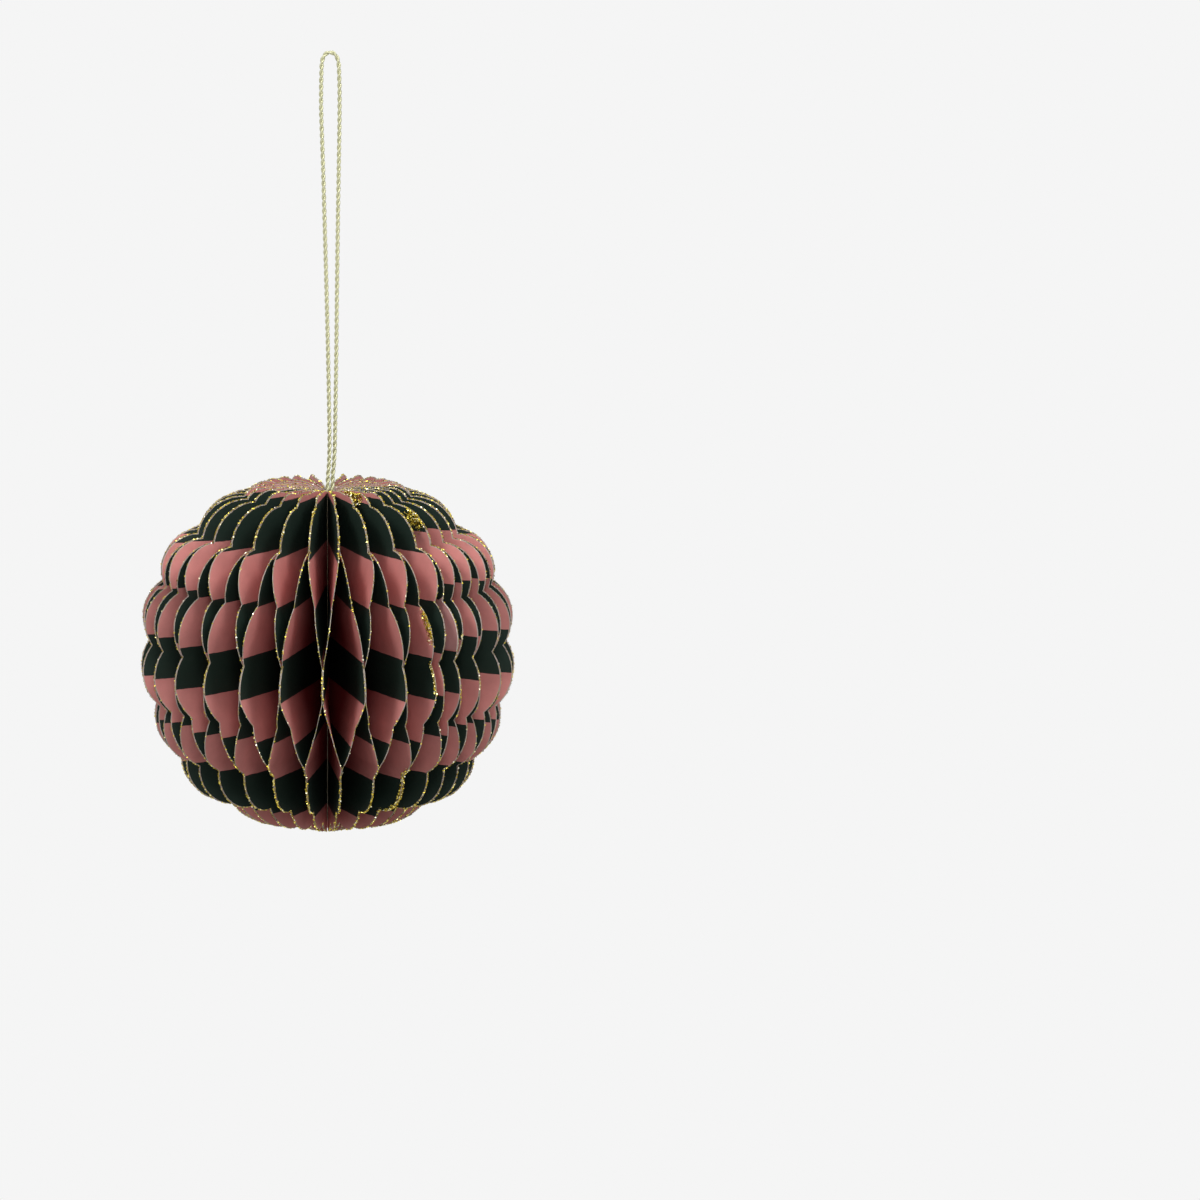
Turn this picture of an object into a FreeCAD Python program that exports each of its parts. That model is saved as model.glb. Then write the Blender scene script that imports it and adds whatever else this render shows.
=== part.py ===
"""Scalloped paper ball ornament: folded card sheets round a glued core, on a cord loop.

Every sheet is one scalloped disc folded in half, with its fold at the core. The two
leaves of a sheet are stuck together at the crown and at the foot, and spread between
them to meet the leaves of the sheets beside it, which gives the honeycomb of cells.
Millimetres, +Z up, origin at the inside of the top of the hanging loop.
Azimuths are taken from the front (-Y) towards the right (+X).
"""
import FreeCAD, Part
import math
import os

V = FreeCAD.Vector

# Outline of a leaf: scallops between notches, heights from the equator notch
CREST_RADIUS = 50.0        # from the ball's centre to the top of a scallop
NOTCH_DEPTH = 2.7          # from the top of a scallop down to the bottom of a notch
NOTCH_RADIUS = CREST_RADIUS - NOTCH_DEPTH
SCALLOP_PITCH = 20.0       # degrees of the disc that one scallop takes
NOTCH_TURN = 1.3           # degrees that the row of notches is turned up
UPPER_NOTCHES = 3          # notches above the equator, up to the crown
LOWER_NOTCHES = 4          # notches below the equator, down to the foot
CROWN_HEIGHT = 41.3        # from the equator notch to the top at the core
CROWN_BULGE = 2.1          # rise of the last scallop over its chord
FOOT_BULGE = 1.2           # rise of the half scallop at the foot over its chord
CROWN_DROP = 1.0           # how far the upper half is pressed down, at full height
LOWER_FLARE = 0.13         # how much wider the foot is than a round ball's, as a share
FLARE_POWER = 2.0

# Card and glue
CARD = 0.25                # thickness of the card
GLUE_GAP = 0.04            # film of glue between two leaves
SHEET_COUNT = 28
FOLD_RADIUS = 2.3          # from the ball's axis to the back of each fold
SHOULDER_CLEARANCE = 0.3   # room, along the sheet, between neighbouring folds
CROTCH_DEPTH = 0.4         # from a fold's full width to where its leaves part

# Heights, from the equator notch, where the leaves are stuck or free
UPPER_JOIN = 29.5          # leaves of one sheet stuck from here up
SIDE_JOIN_TOP = 0.0        # neighbouring sheets stuck from here
SIDE_JOIN_FOOT = -9.0      # down to here
LOWER_JOIN = -27.1         # leaves of one sheet stuck from here down

# Closing seam, where the first and the last sheet are drawn together
SEAM_AZIMUTH = 36.8
SEAM_GAP = 2.8             # degrees left open between those two sheets
FIRST_WIDTH = 0.52         # width of the first sheet, as a share of a free one
SECOND_WIDTH = 0.70
LAST_WIDTH = 0.80

# Tab of card stuck inside the first sheet, with a pointed top corner
TAB_TOP = 15.6
TAB_FOOT = 1.0
TAB_INNER_RADIUS = 33.0
TAB_RIM_MARGIN = 0.7       # how far its edge stays inside the leaf's own rim
TAB_SLOPE = 40.0           # degrees that the top edge falls towards the core

# Core: a rod of glue, the cord's knot, and a collar of glue round the cord
CORE_CLEARANCE = 0.05
ROD_FOOT = -48.0
KNOT_HEIGHT = 2.4
KNOT_RADIUS = 2.1
COLLAR_RECESS = 1.1        # from the crown down to the top of the collar

# Cord loop: a doubled cord, from the knot up and over the peg and back
CORD_DIAMETER = 1.2
CORD_CLEARANCE = 0.05
ARC_SHARE = 0.45           # of the shorter run that each arc takes
BALL_HEIGHT = -157.3       # equator notch, below the inside of the loop's top
CORD_ROUTE = [
    (-0.13, 0.00, -127.0),
    (-0.13, 0.00, -114.5),
    (0.50, 0.05, -108.5),
    (0.42, 0.12, -97.3),
    (0.08, 0.30, -80.0),
    (-0.35, 0.30, -62.0),
    (-0.85, 0.10, -44.0),
    (-1.28, -0.15, -28.0),
    (-1.78, -0.20, -15.5),
    (-1.75, -0.10, -7.0),
    (-1.50, 0.00, 0.575),
    (2.75, 0.00, 0.575),
    (3.12, 0.10, -7.0),
    (3.15, 0.30, -16.0),
    (2.95, 0.35, -28.5),
    (2.68, 0.20, -45.0),
    (2.45, 0.00, -63.0),
    (2.28, -0.15, -81.0),
    (2.00, -0.10, -98.0),
    (1.82, -0.05, -108.5),
    (1.12, 0.00, -114.5),
    (1.12, 0.00, -127.0),
]

# Worked out from the sizes above
BLANK_MARGIN = 4.0
ROUND = CREST_RADIUS + BLANK_MARGIN             # leaves are drawn this wide, then cut
FULL_TURN = 360.0
CENTRE_DROP = NOTCH_RADIUS * math.sin(math.radians(NOTCH_TURN))
KNOT_TOP = CORD_ROUTE[0][2] - BALL_HEIGHT       # the cord's ends meet the knot here
CORE_RADIUS = FOLD_RADIUS - CORE_CLEARANCE


def pressed(radius, height):
    """A point of the outline, the upper half pressed down and the lower one fuller."""
    share = height / NOTCH_RADIUS
    if height > 0:
        return V(radius, 0, height - CROWN_DROP * share)
    return V(radius * (1 + LOWER_FLARE * abs(share) ** FLARE_POWER), 0, height)


def notch(number):
    """Bottom of a notch, counted from the equator, plus is up."""
    angle = math.radians(number * SCALLOP_PITCH + NOTCH_TURN)
    height = NOTCH_RADIUS * math.sin(angle) - CENTRE_DROP
    return pressed(NOTCH_RADIUS * math.cos(angle), height)


def crest(number):
    """Top of the scallop that lies above the notch of this number."""
    angle = math.radians((number + 0.5) * SCALLOP_PITCH + NOTCH_TURN)
    height = CREST_RADIUS * math.sin(angle) - CENTRE_DROP
    return pressed(CREST_RADIUS * math.cos(angle), height)


def arc(start, middle, end):
    """Edge of a round arc through three points."""
    return Part.Arc(start, middle, end).toShape()


def outline_solid():
    """The scalloped ball that the leaves fill: the leaf's outline, turned round."""
    foot = V(0, 0, -CREST_RADIUS - CENTRE_DROP)
    lowest = notch(-LOWER_NOTCHES)
    foot_chord = lowest - foot
    outward = V(foot_chord.z, 0, -foot_chord.x).normalize()
    half_scallop = foot + foot_chord * 0.5 + outward * FOOT_BULGE
    edges = [arc(foot, half_scallop, lowest)]
    for number in range(-LOWER_NOTCHES, UPPER_NOTCHES):
        edges.append(arc(notch(number), crest(number), notch(number + 1)))
    highest = notch(UPPER_NOTCHES)
    crown = V(FOLD_RADIUS, 0, CROWN_HEIGHT)
    chord = crown - highest
    rise = V(chord.z, 0, -chord.x).normalize() * CROWN_BULGE
    edges.append(arc(highest, highest + chord * 0.5 + rise, crown))
    top = V(0, 0, CROWN_HEIGHT)
    edges.append(Part.makeLine(crown, top))
    edges.append(Part.makeLine(top, foot))
    return Part.Face(Part.Wire(edges)).revolve(V(0, 0, 0), V(0, 0, 1), FULL_TURN)


def rim_pair(spread, half_pitch, side):
    """Inner and outer corner of one leaf, out at ROUND, as (x, y) with +X down the sheet.

    A leaf that isn't spread lies along the middle of its sheet. A leaf that is lies
    along the line between its sheet and the next.
    """
    inner = GLUE_GAP / 2
    outer = inner + CARD
    if not spread:
        return (ROUND, side * inner), (ROUND, side * outer)
    along = (math.cos(half_pitch), math.sin(half_pitch))
    back = (math.sin(half_pitch), -math.cos(half_pitch))
    corners = []
    for depth in (outer, inner):
        x = ROUND * along[0] + depth * back[0]
        y = ROUND * along[1] + depth * back[1]
        corners.append((x, side * y))
    return corners[0], corners[1]


def shoulder_radius(half_pitch):
    """Where a fold has its full width of two cards, clear of the sheets beside it."""
    return (CARD + GLUE_GAP) / math.tan(half_pitch) + SHOULDER_CLEARANCE


def crotch_radius(half_pitch):
    """Where the two leaves of a sheet part."""
    return shoulder_radius(half_pitch) + CROTCH_DEPTH


def sheet_section(height, spread, half_pitch):
    """Closed V of one folded sheet at one height."""
    shoulder = CARD + GLUE_GAP / 2
    full_width = shoulder_radius(half_pitch)
    left_in, left_out = rim_pair(spread, half_pitch, 1)
    right_in, right_out = rim_pair(spread, half_pitch, -1)
    points = [
        (FOLD_RADIUS, 0),
        (full_width, -shoulder),
        right_out,
        right_in,
        (crotch_radius(half_pitch), 0),
        left_in,
        left_out,
        (full_width, shoulder),
    ]
    corners = [V(x, y, height) for x, y in points]
    return Part.makePolygon(corners + corners[:1])


def folded_sheet(half_pitch, outline):
    """One folded sheet, with its fold at the core and its middle along +X."""
    heights = [
        (-ROUND, False),
        (LOWER_JOIN, False),
        (SIDE_JOIN_FOOT, True),
        (SIDE_JOIN_TOP, True),
        (UPPER_JOIN, False),
        (ROUND, False),
    ]
    sections = [sheet_section(height, spread, half_pitch) for height, spread in heights]
    blank = Part.makeLoft(sections, True, True)
    return blank.common(outline)


def seam_tab(half_pitch, outline):
    """Tab stuck flat inside the leaf of the first sheet that lies away from the seam.

    It follows that leaf where it is spread, and is cut to the outline, a little smaller.
    """
    inner = GLUE_GAP / 2 + CARD + GLUE_GAP
    outer = inner + CARD
    along = V(math.cos(half_pitch), math.sin(half_pitch), 0)
    back = V(math.sin(half_pitch), -math.cos(half_pitch), 0)
    spread_over = UPPER_JOIN - SIDE_JOIN_TOP
    top_share = 1 - TAB_TOP / spread_over
    closed_y = GLUE_GAP / 2
    sections = []
    for height, share in ((SIDE_JOIN_TOP, 1.0), (TAB_TOP, top_share)):
        corners = []
        for radius, depth in ((ROUND, inner), (ROUND, outer)):
            spread_point = along * radius + back * depth
            closed_point = V(radius, closed_y - (depth - inner), 0)
            point = spread_point * share + closed_point * (1 - share)
            corners.append(point + V(0, 0, height))
        root = V(crotch_radius(half_pitch), 0, height)
        toward = (corners[0] - root).normalize()
        near_in = corners[0] - toward * (ROUND - TAB_INNER_RADIUS)
        near_out = corners[1] - toward * (ROUND - TAB_INNER_RADIUS)
        wire = [corners[0], corners[1], near_out, near_in, corners[0]]
        sections.append(Part.makePolygon(wire))
    blank = Part.makeLoft(sections, True, True)
    slope = math.tan(math.radians(TAB_SLOPE))
    point = notch(1).x - TAB_RIM_MARGIN
    keep = [
        V(ROUND, -ROUND, TAB_TOP),
        V(point, -ROUND, TAB_TOP),
        V(point - (TAB_TOP - TAB_FOOT) / slope, -ROUND, TAB_FOOT),
        V(ROUND, -ROUND, TAB_FOOT),
    ]
    prism = Part.Face(Part.makePolygon(keep + keep[:1])).extrude(V(0, 2 * ROUND, 0))
    smaller = outline.copy()
    share = 1 - TAB_RIM_MARGIN / CREST_RADIUS
    smaller.scale(share)
    return blank.common(prism).common(smaller)


def sheet_places():
    """Azimuth of the middle of each sheet, with half its width, both in degrees."""
    shares = [1.0] * SHEET_COUNT
    shares[0] = FIRST_WIDTH
    shares[1] = SECOND_WIDTH
    shares[-1] = LAST_WIDTH
    free_width = (FULL_TURN - SEAM_GAP) / sum(shares)
    edge = SEAM_AZIMUTH + SEAM_GAP / 2
    places = []
    for share in shares:
        width = free_width * share
        places.append((edge + width / 2, width / 2))
        edge += width
    return places


def set_out(shape, azimuth):
    """Turn a piece that was made along +X to its azimuth, and lift it to the ball."""
    placed = shape.copy()
    placed.rotate(V(0, 0, 0), V(0, 0, 1), azimuth - 90)
    placed.translate(V(0, 0, BALL_HEIGHT))
    return placed


def core_rod():
    """Glue that fills the hollow of the core below the knot."""
    top = KNOT_TOP - KNOT_HEIGHT
    rod = Part.makeCylinder(CORE_RADIUS, top - ROD_FOOT, V(0, 0, ROD_FOOT))
    rod.translate(V(0, 0, BALL_HEIGHT))
    return rod


def cord_knot():
    """Knot that holds the two ends of the cord, flat where it meets the glue."""
    middle = KNOT_TOP - KNOT_HEIGHT / 2
    ball = Part.makeSphere(KNOT_RADIUS, V(0, 0, middle))
    slab = Part.makeCylinder(KNOT_RADIUS + 1, KNOT_HEIGHT, V(0, 0, KNOT_TOP - KNOT_HEIGHT))
    knot = ball.common(slab)
    knot.translate(V(0, 0, BALL_HEIGHT))
    return knot


def core_collar():
    """Collar of glue round the two strands, between the knot and the crown."""
    height = CROWN_HEIGHT - COLLAR_RECESS - KNOT_TOP
    collar = Part.makeCylinder(CORE_RADIUS, height, V(0, 0, KNOT_TOP))
    bore = CORD_DIAMETER / 2 + CORD_CLEARANCE
    first = CORD_ROUTE[0]
    last = CORD_ROUTE[-1]
    for end in (first, last):
        hole = Part.makeCylinder(bore, height, V(end[0], end[1], KNOT_TOP))
        collar = collar.cut(hole)
    web = Part.makeBox(last[0] - first[0], 2 * bore, height, V(first[0], first[1] - bore, KNOT_TOP))
    collar = collar.cut(web)
    collar.translate(V(0, 0, BALL_HEIGHT))
    return collar


def hanging_cord():
    """Tube of the cord: straight runs joined by arcs as large as the runs allow."""
    points = [V(*point) for point in CORD_ROUTE]
    edges = []
    start = points[0]
    for before, corner, after in zip(points, points[1:], points[2:]):
        back = (before - corner).normalize()
        on = (after - corner).normalize()
        turn = math.pi - back.getAngle(on)
        shorter = min((before - corner).Length, (after - corner).Length)
        reach = ARC_SHARE * shorter
        radius = reach / math.tan(turn / 2)
        print("turn %.1f degrees, radius %.2f mm" % (math.degrees(turn), radius))
        entry = corner + back * reach
        leave = corner + on * reach
        bisector = (back + on).normalize()
        depth = math.hypot(radius, reach) - radius
        edges.append(Part.LineSegment(start, entry).toShape())
        edges.append(arc(entry, corner + bisector * depth, leave))
        start = leave
    edges.append(Part.LineSegment(start, points[-1]).toShape())
    path = Part.Wire(edges)
    direction = points[1] - points[0]
    section = Part.Wire(Part.makeCircle(CORD_DIAMETER / 2, points[0], direction))
    tube = path.makePipeShell([section], True, False)
    expected = math.pi * CORD_DIAMETER ** 2 / 4 * path.Length
    print("cord length %.1f mm, volume share %.4f" % (path.Length, tube.Volume / expected))
    return tube


def main():
    """Build every piece and write it out."""
    os.makedirs("parts", exist_ok=True)
    outline = outline_solid()
    pieces = {}
    patterns = {}
    places = sheet_places()
    for number, (azimuth, half_width) in enumerate(places, start=1):
        key = round(half_width, 6)
        if key not in patterns:
            patterns[key] = folded_sheet(math.radians(half_width), outline)
        pieces["folded_sheet_%02d" % number] = set_out(patterns[key], azimuth)
    first_azimuth, first_half = places[0]
    tab = seam_tab(math.radians(first_half), outline)
    pieces["seam_tab"] = set_out(tab, first_azimuth)
    pieces["core_rod"] = core_rod()
    pieces["cord_knot"] = cord_knot()
    pieces["core_collar"] = core_collar()
    pieces["hanging_cord"] = hanging_cord()
    for name, shape in pieces.items():
        print(name, shape.ShapeType, "solids", len(shape.Solids), "volume %.1f" % shape.Volume)
        shape.exportStep("parts/%s.step" % name)


main()
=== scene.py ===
"""Looks of a scalloped paper ball ornament: printed card sheets, glitter and a gold cord loop.

The ball is a honeycomb of folded discs of printed card. Sizes are in millimetres and
angles in degrees unless a name says otherwise; meshes are made in metres. Azimuths are
taken from the front (-Y) towards the right (+X), and heights from the row of notches
nearest the ball's equator.
"""
import logging
import math
from dataclasses import dataclass, field
from enum import Enum
from typing import Any

import bpy
import numpy as np
from mathutils import Matrix, Vector


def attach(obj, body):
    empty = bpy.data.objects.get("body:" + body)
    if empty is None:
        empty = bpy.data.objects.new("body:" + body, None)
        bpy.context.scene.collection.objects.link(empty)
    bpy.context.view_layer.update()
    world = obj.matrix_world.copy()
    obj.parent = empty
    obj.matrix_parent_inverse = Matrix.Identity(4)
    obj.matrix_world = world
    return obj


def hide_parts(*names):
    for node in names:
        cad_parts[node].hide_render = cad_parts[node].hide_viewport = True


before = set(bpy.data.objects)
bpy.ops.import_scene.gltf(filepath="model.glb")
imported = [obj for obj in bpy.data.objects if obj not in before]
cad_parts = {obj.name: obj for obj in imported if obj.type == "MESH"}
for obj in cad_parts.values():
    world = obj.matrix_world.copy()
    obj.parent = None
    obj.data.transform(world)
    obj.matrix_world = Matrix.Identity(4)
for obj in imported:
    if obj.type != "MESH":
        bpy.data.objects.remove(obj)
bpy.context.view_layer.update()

LOG = logging.getLogger("paper_ball")
MM = 0.001
BODY = "root"
SEED = 1907
BALL_HEIGHT = -157.3       # equator notches, below the inside of the loop's top
SMOOTH_ANGLE = 40.0        # card bends by less than this, and its edges by more


class Face(Enum):
    """The two printed faces of a sheet of card, as it is folded."""

    OUTSIDE = "outside"
    INSIDE = "inside"


class Side(Enum):
    """The two leaves of a folded sheet, seen from the front."""

    LEFT = -1
    RIGHT = 1


def linear(hex_colour: str) -> tuple[float, float, float, float]:
    """Turn an sRGB hex colour into linear RGBA.

    Args:
        hex_colour: Six hex digits after a hash mark.

    Returns:
        Linear red, green, blue and an alpha of 1.
    """
    channels = [int(hex_colour[place:place + 2], 16) / 255 for place in (1, 3, 5)]
    bent = [c / 12.92 if c <= 0.04045 else ((c + 0.055) / 1.055) ** 2.4 for c in channels]
    return (bent[0], bent[1], bent[2], 1.0)


def add_node(
    tree: bpy.types.NodeTree,
    kind: str,
    settings: dict[str, Any] | None = None,
    inputs: dict[str | int, Any] | None = None,
) -> bpy.types.Node:
    """Add a shader node with its settings, values and links.

    Args:
        tree: Node tree of the material or world.
        kind: Blender's name of the node type.
        settings: Attributes of the node.
        inputs: Values or output sockets for the node's inputs, by name or number.

    Returns:
        The new node.
    """
    node = tree.nodes.new(kind)
    for name, value in (settings or {}).items():
        setattr(node, name, value)
    for name, value in (inputs or {}).items():
        socket = node.inputs[name]
        if isinstance(value, bpy.types.NodeSocket):
            tree.links.new(value, socket)
        else:
            socket.default_value = value
    return node


def new_material(name: str) -> tuple[bpy.types.Material, bpy.types.NodeTree]:
    """Make an empty node material, and return it with its node tree."""
    material = bpy.data.materials.new(name)
    material.use_nodes = True
    material.node_tree.nodes.clear()
    return material, material.node_tree


def grains_per_metre(size: float) -> float:
    """Scale of a noise pattern whose grains are this many millimetres across."""
    return 1.0 / (size * MM)


def object_place(tree: bpy.types.NodeTree) -> bpy.types.NodeSocket:
    """Place of each shaded point in its piece's own space."""
    return add_node(tree, "ShaderNodeTexCoord").outputs["Object"]


def grain(
    tree: bpy.types.NodeTree, size: float, detail: float, roughness: float = 0.5
) -> bpy.types.NodeSocket:
    """Add a noise pattern in the piece's own space.

    Args:
        tree: Node tree of the material.
        size: Size of a grain in millimetres.
        detail: How many finer layers the noise has.
        roughness: How strong the finer layers are.

    Returns:
        Output socket of the noise.
    """
    noise = add_node(tree, "ShaderNodeTexNoise", inputs={
        "Vector": object_place(tree), "Scale": grains_per_metre(size), "Detail": detail,
        "Roughness": roughness})
    return noise.outputs["Fac"]


def calculate(
    tree: bpy.types.NodeTree, operation: str, *values: Any
) -> bpy.types.NodeSocket:
    """Add a math node on these values or sockets, and return its result."""
    node = add_node(tree, "ShaderNodeMath", {"operation": operation}, dict(enumerate(values)))
    return node.outputs[0]


def remap(
    tree: bpy.types.NodeTree,
    value: bpy.types.NodeSocket,
    span: tuple[float, float],
    new_span: tuple[float, float] = (0.0, 1.0),
) -> bpy.types.NodeSocket:
    """Map a value from one span to another, held inside it.

    Args:
        tree: Node tree of the material.
        value: Socket of the value.
        span: Ends of the value's span.
        new_span: What those ends become.

    Returns:
        Output socket of the mapped value.
    """
    node = add_node(tree, "ShaderNodeMapRange", inputs={
        "Value": value, "From Min": span[0], "From Max": span[1],
        "To Min": new_span[0], "To Max": new_span[1]})
    return node.outputs["Result"]


def blend(
    tree: bpy.types.NodeTree, share: bpy.types.NodeSocket, first: Any, second: Any
) -> bpy.types.NodeSocket:
    """Mix two colours by the share of the second, and return the result."""
    node = add_node(tree, "ShaderNodeMix", {"data_type": "RGBA"}, {
        "Factor": share, 6: first, 7: second})
    return node.outputs[2]


def bumps(
    tree: bpy.types.NodeTree, height: bpy.types.NodeSocket, strength: float, depth: float
) -> bpy.types.NodeSocket:
    """Add a bump of this depth in millimetres, and return the bent normal."""
    node = add_node(tree, "ShaderNodeBump", inputs={
        "Height": height, "Strength": strength, "Distance": depth * MM})
    return node.outputs["Normal"]


def set_surface(tree: bpy.types.NodeTree, inputs: dict[str | int, Any]) -> None:
    """Close a material with a principled shader that has these inputs."""
    shader = add_node(tree, "ShaderNodeBsdfPrincipled", inputs=inputs)
    add_node(tree, "ShaderNodeOutputMaterial", inputs={"Surface": shader.outputs["BSDF"]})


def deselect() -> None:
    """Leave edit mode's and object mode's selection empty."""
    bpy.ops.object.select_all(action="DESELECT")


def make_active(piece: bpy.types.Object) -> None:
    """Select one piece alone and make it active."""
    deselect()
    piece.select_set(True)
    bpy.context.view_layer.objects.active = piece


def mesh_piece(name: str, points: np.ndarray, faces: list[Any]) -> bpy.types.Object:
    """Make a mesh object at the origin and link it to the scene.

    Args:
        name: Name of the piece.
        points: Vertex places in metres, one row each.
        faces: Vertex numbers of each face.

    Returns:
        The new object.
    """
    mesh = bpy.data.meshes.new(name)
    mesh.from_pydata(points.tolist(), [], faces)
    mesh.update()
    piece = bpy.data.objects.new(name, mesh)
    bpy.context.scene.collection.objects.link(piece)
    return piece


def card_grid(name: str, columns: int, rows: int) -> tuple[bpy.types.Object, np.ndarray]:
    """Add a flat grid, to be bent into a piece of card.

    Args:
        name: Name of the piece.
        columns: Faces across.
        rows: Faces up.

    Returns:
        The piece, and where each of its corners lies across and up, from 0 to 1.
    """
    deselect()
    bpy.ops.mesh.primitive_grid_add(x_subdivisions=columns, y_subdivisions=rows, size=1.0)
    piece = bpy.context.active_object
    piece.name = piece.data.name = name
    flat = np.zeros(len(piece.data.vertices) * 3)
    piece.data.vertices.foreach_get("co", flat)
    return piece, flat.reshape(-1, 3)[:, :2] + 0.5


def thicken(
    piece: bpy.types.Object, thickness: float, inside_slot: int, edge_slot: int
) -> None:
    """Give bent card its thickness, with the finishes of its inside face and cut edge.

    Args:
        piece: Surface through the middle of the card, with its finishes.
        thickness: Thickness of the card in millimetres.
        inside_slot: Number of the inside face's finish.
        edge_slot: Number of the cut edge's finish.
    """
    make_active(piece)
    wall = piece.modifiers.new("card", "SOLIDIFY")
    wall.thickness = thickness * MM
    wall.offset = 0.0
    wall.material_offset = inside_slot
    wall.material_offset_rim = edge_slot
    bpy.ops.object.modifier_apply(modifier=wall.name)
    bpy.ops.object.shade_smooth_by_angle(angle=math.radians(SMOOTH_ANGLE))


def report(piece: bpy.types.Object) -> None:
    """Log a finished piece with its face count."""
    LOG.info("%s: %d faces", piece.name, len(piece.data.polygons))


@dataclass(frozen=True)
class PrintedCard:
    """Coated card, printed with flat bands of two inks: satin, with a faint fibre grain, and
    painted shade that darkens the inks deep in the cells.
    """

    face: Face
    pink: str = "#902F31"         # ink darkened deep in the cells by painted shade; so is the green below
    green: str = "#0E100D"
    rim_pink: str = "#D8908A"   # ink at the rim, free of the painted shade; so is the green below
    rim_green: str = "#24322B"
    bare: str = "#C9B9B0"         # where the ink is worn off
    shade_full_at: float = 27.0         # distance from the rim where the painted shade is full
    band_edges: tuple[float, ...] = (-43.8, -31.5, -20.7, -9.2, 2.1, 15.1, 27.5, 39.9)
    lowest_outside_is_pink: bool = True
    height_span: float = 110.0     # heights that the band ramp covers, centred on the equator
    edge_wander: float = 0.16      # how far a printed edge strays
    wander_grain: float = 3.0
    mottle_grain: float = 7.0      # patches of heavier and lighter ink
    ink_weight: tuple[float, float] = (0.9, 1.1)
    fibre_grain: float = 0.55      # real fibres are finer; drawn coarse enough to show
    fibre_relief: float = 0.05
    wear_width: float = 0.45       # ink rubbed off this far from the cut edge
    roughness: tuple[float, float] = (0.44, 0.58)

    def material(self) -> bpy.types.Material:
        """Build the card's material for this face."""
        material, tree = new_material("printed_card_" + self.face.value)
        card_map = add_node(tree, "ShaderNodeUVMap", {"uv_map": "card"}).outputs["UV"]
        place = add_node(tree, "ShaderNodeSeparateXYZ", inputs={0: card_map}).outputs
        from_rim, height = place["X"], place["Y"]
        wander = calculate(tree, "SUBTRACT", grain(tree, self.wander_grain, 2.0), 0.5)
        strayed = calculate(tree, "MULTIPLY_ADD", wander, 2 * self.edge_wander, height)
        on_ramp = calculate(tree, "MULTIPLY_ADD", strayed, 1 / self.height_span, 0.5)
        # Painted shade: each ink darkens from its rim colour to its deep colour further in from
        # the rim.
        bands = blend(
            tree, remap(tree, from_rim, (0.0, self.shade_full_at)),
            self.bands(tree, on_ramp, self.rim_pink, self.rim_green),
            self.bands(tree, on_ramp, self.pink, self.green))
        mottle = grain(tree, self.mottle_grain, 4.0, 0.65)
        inked = add_node(tree, "ShaderNodeVectorMath", {"operation": "SCALE"}, {
            0: bands, "Scale": remap(tree, mottle, (0.25, 0.75), self.ink_weight)})
        fibre = grain(tree, self.fibre_grain, 5.0, 0.6)
        worn_to = calculate(tree, "MULTIPLY", fibre, self.wear_width)
        worn = calculate(tree, "LESS_THAN", from_rim, worn_to)
        set_surface(tree, {
            "Base Color": blend(tree, worn, inked.outputs[0], linear(self.bare)),
            "Roughness": remap(tree, fibre, (0.3, 0.7), self.roughness),
            "IOR": 1.48, "Specular IOR Level": 0.2,
            "Normal": bumps(tree, fibre, 0.12, self.fibre_relief)})
        return material

    def bands(
        self, tree: bpy.types.NodeTree, place: bpy.types.NodeSocket, pink: str, green: str
    ) -> bpy.types.NodeSocket:
        """Add a ramp with bands of the two inks, swapped on the inside face.

        Args:
            tree: Node tree of the material.
            place: Socket of the place on the ramp, from 0 to 1.
            pink: Lighter ink.
            green: Darker ink.

        Returns:
            Output socket of the ramp's colour.
        """
        node = add_node(tree, "ShaderNodeValToRGB", inputs={"Fac": place})
        ramp = node.color_ramp
        ramp.interpolation = "CONSTANT"
        pink_first = self.lowest_outside_is_pink == (self.face is Face.OUTSIDE)
        inks = (pink, green) if pink_first else (green, pink)
        ramp.elements[0].position = 0.0
        ramp.elements[0].color = linear(inks[0])
        ramp.elements.remove(ramp.elements[1])
        for number, edge in enumerate(self.band_edges, start=1):
            stop = ramp.elements.new(edge / self.height_span + 0.5)
            stop.color = linear(inks[number % 2])
        return node.outputs["Color"]


@dataclass(frozen=True)
class CutEdge:
    """Guillotined edge of the card: bare pulp, pale and rough, with glitter glue in patches."""

    name: str = "cut_card_edge"
    pulp: str = "#B4AAA2"
    glue: str = "#A39A3C"
    patch_grain: float = 1.3
    sparkle_grain: float = 0.35
    glued_above: float = 0.52      # share of the patch noise that is bare

    def material(self) -> bpy.types.Material:
        """Build the material of the cut edges."""
        material, tree = new_material(self.name)
        glued = calculate(
            tree, "GREATER_THAN", grain(tree, self.patch_grain, 3.0), self.glued_above)
        sparkle = add_node(tree, "ShaderNodeTexVoronoi", inputs={
            "Vector": object_place(tree), "Scale": grains_per_metre(self.sparkle_grain)})
        lit = add_node(tree, "ShaderNodeSeparateColor", inputs={
            "Color": sparkle.outputs["Color"]}).outputs["Red"]
        share = calculate(tree, "MULTIPLY", glued, lit)
        set_surface(tree, {
            "Base Color": blend(tree, share, linear(self.pulp), linear(self.glue)),
            "Roughness": 0.7})
        return material


@dataclass(frozen=True)
class TabCard:
    """Uncoated card of a dusty rose, matt and a little fibrous."""

    rose: str = "#CC9A97"
    patch: str = "#B27F7C"
    patch_grain: float = 5.0
    fibre_grain: float = 0.5
    fibre_relief: float = 0.05

    def material(self) -> bpy.types.Material:
        """Build the material of the seam tab's faces."""
        material, tree = new_material("dusty_rose_card")
        patch = grain(tree, self.patch_grain, 5.0)
        fibre = grain(tree, self.fibre_grain, 4.0)
        set_surface(tree, {
            "Base Color": blend(tree, patch, linear(self.rose), linear(self.patch)),
            "Roughness": 0.7, "Normal": bumps(tree, fibre, 0.2, self.fibre_relief)})
        return material


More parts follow.
